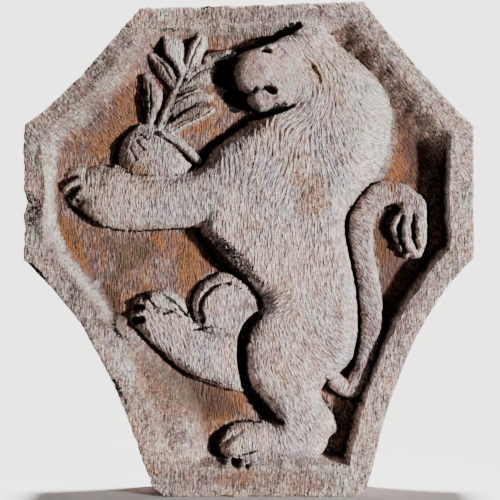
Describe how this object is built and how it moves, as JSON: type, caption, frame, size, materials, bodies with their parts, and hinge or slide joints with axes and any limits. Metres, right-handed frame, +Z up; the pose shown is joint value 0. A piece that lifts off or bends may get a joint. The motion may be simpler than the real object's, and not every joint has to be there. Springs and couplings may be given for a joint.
{
  "type": "stone coat of arms",
  "caption": "Eight-sided shield of weathered stone with a raised rim and a sunk field, carved with a rampant lion that holds a quince on its branch, to be built into a wall.",
  "frame": {"origin": "middle of the shield's flat back", "axes": "+Z up the shield, +Y out of the back towards the wall, -Y the way that the carved face looks, +X to the right of someone who faces the carving"},
  "size_m": [0.637, 0.1182, 0.7],
  "materials": {
    "weathered_stone": "matt tooled limestone, pinkish grey on the high places, orange brown patina in the field and dark crust in the hollows"
  },
  "bodies": {
    "root": {"carved_shield_stone": "weathered_stone"}
  },
  "joints": []
}
